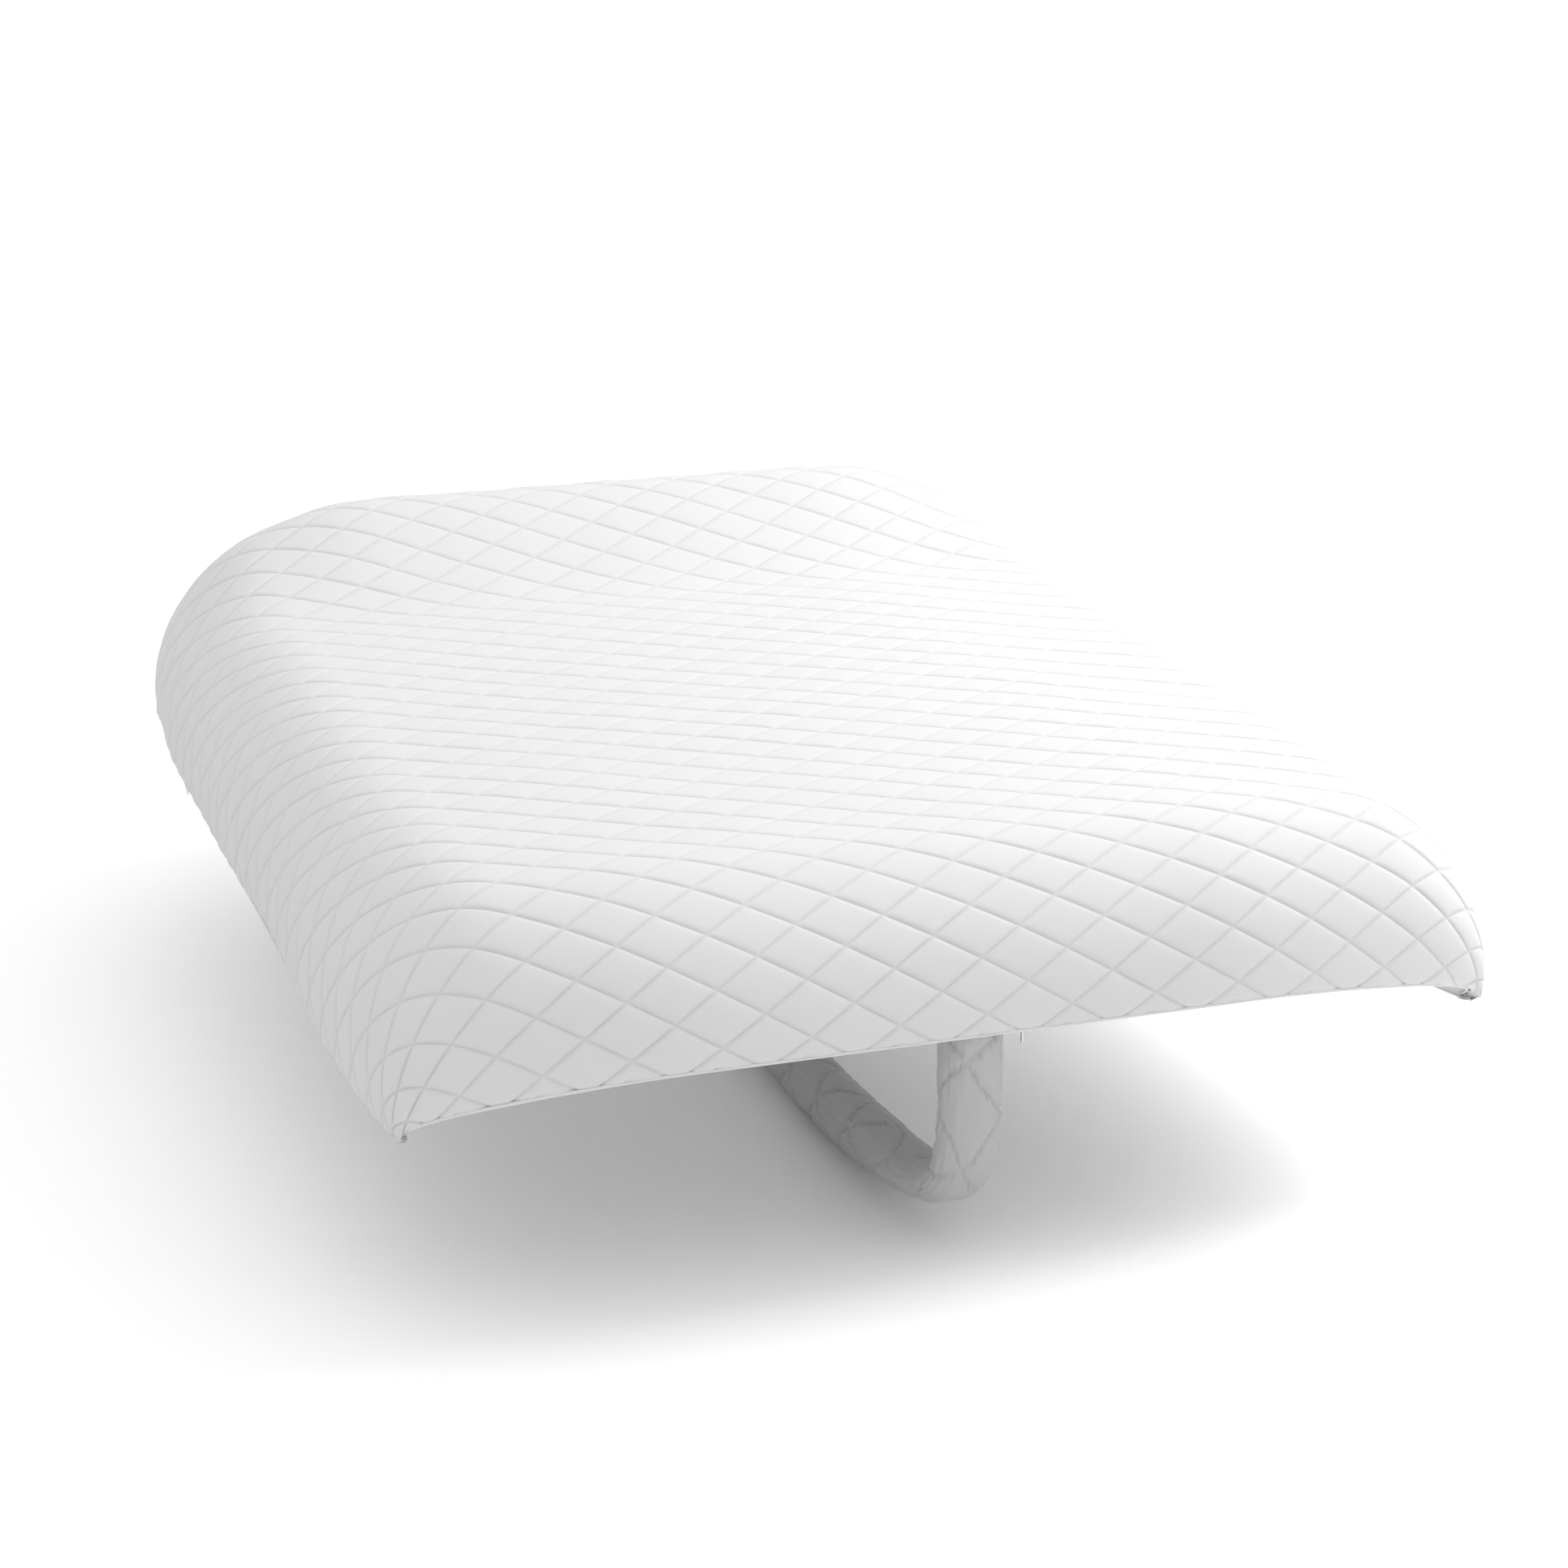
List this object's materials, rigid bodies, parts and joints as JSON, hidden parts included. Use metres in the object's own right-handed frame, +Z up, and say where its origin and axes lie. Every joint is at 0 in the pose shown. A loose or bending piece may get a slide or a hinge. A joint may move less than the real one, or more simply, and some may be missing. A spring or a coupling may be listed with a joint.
{
  "type": "quilted air duvet with hose",
  "caption": "White diamond-quilted duvet draped as on a made bed, hollow below, with a limp quilted air hose that hangs from the foot edge and runs back along the floor.",
  "frame": {"origin": "on the flat underside of the duvet, at the middle of its width, where it lies on the mattress", "axes": "+X to the right seen from the foot of the bed, +Y from the foot to the head, +Z up"},
  "size_m": [1.7578, 2.1176, 0.762],
  "materials": {
    "quilted_cover": "matte white quilted microfibre",
    "wadding": "matte white wadding",
    "spacer_mesh": "matte off-white spacer mesh",
    "lining": "matte white plain weave",
    "piping": "smooth white folded binding",
    "tape": "matte white woven tape",
    "label": "smooth white satin, blank",
    "hose_sleeve": "matte off-white quilted cloth",
    "duct": "matte off-white flexible duct",
    "plastic": "satin off-white moulding",
    "seal": "matte dark grey",
    "metal": "brushed"
  },
  "bodies": {
    "duvet": {"top_cover": "quilted_cover", "fill_layer": "wadding", "air_spacer": "spacer_mesh", "bottom_cover": "lining", "left_gusset": "quilted_cover", "right_gusset": "quilted_cover", "head_gusset": "quilted_cover", "foot_gusset": "quilted_cover", "edge_piping": "piping", "inlet_flange": "plastic", "inlet_seal": "seal", "inlet_nut": "plastic", "hose_sleeve": "hose_sleeve", "hose_duct": "duct", "inlet_clamp": "metal", "coupling_body": "plastic", "end_clamp": "metal", "coupling_seal": "seal", "zip_tape_front": "tape", "zip_tape_back": "tape", "zip_teeth": "plastic", "zip_stop_start": "metal", "zip_stop_end": "metal", "corner_tie_foot_left": "tape", "corner_tie_foot_right": "tape", "corner_tie_head_left": "tape", "corner_tie_head_right": "tape", "care_label": "label"},
    "slider": {"zip_slider": "metal"},
    "pull": {"zip_pull": "metal"},
    "grip_ring": {"coupling_ring": "plastic"}
  },
  "joints": [
    {"name": "zip_slide", "type": "slide", "parent": "duvet", "child": "slider", "axis": [1, 0, 0], "range_m": [0, 0.276]},
    {"name": "pull_hinge", "type": "hinge", "parent": "slider", "child": "pull", "pos_m": [0.0715, -1.066, -0.16653], "axis": [0, 1, 0], "range_deg": [-75, 75]},
    {"name": "ring_turn", "type": "hinge", "parent": "duvet", "child": "grip_ring", "pos_m": [-0.009, 0.04, -0.479], "axis": [0, 1, 0], "range_deg": [0, 35]}
  ]
}
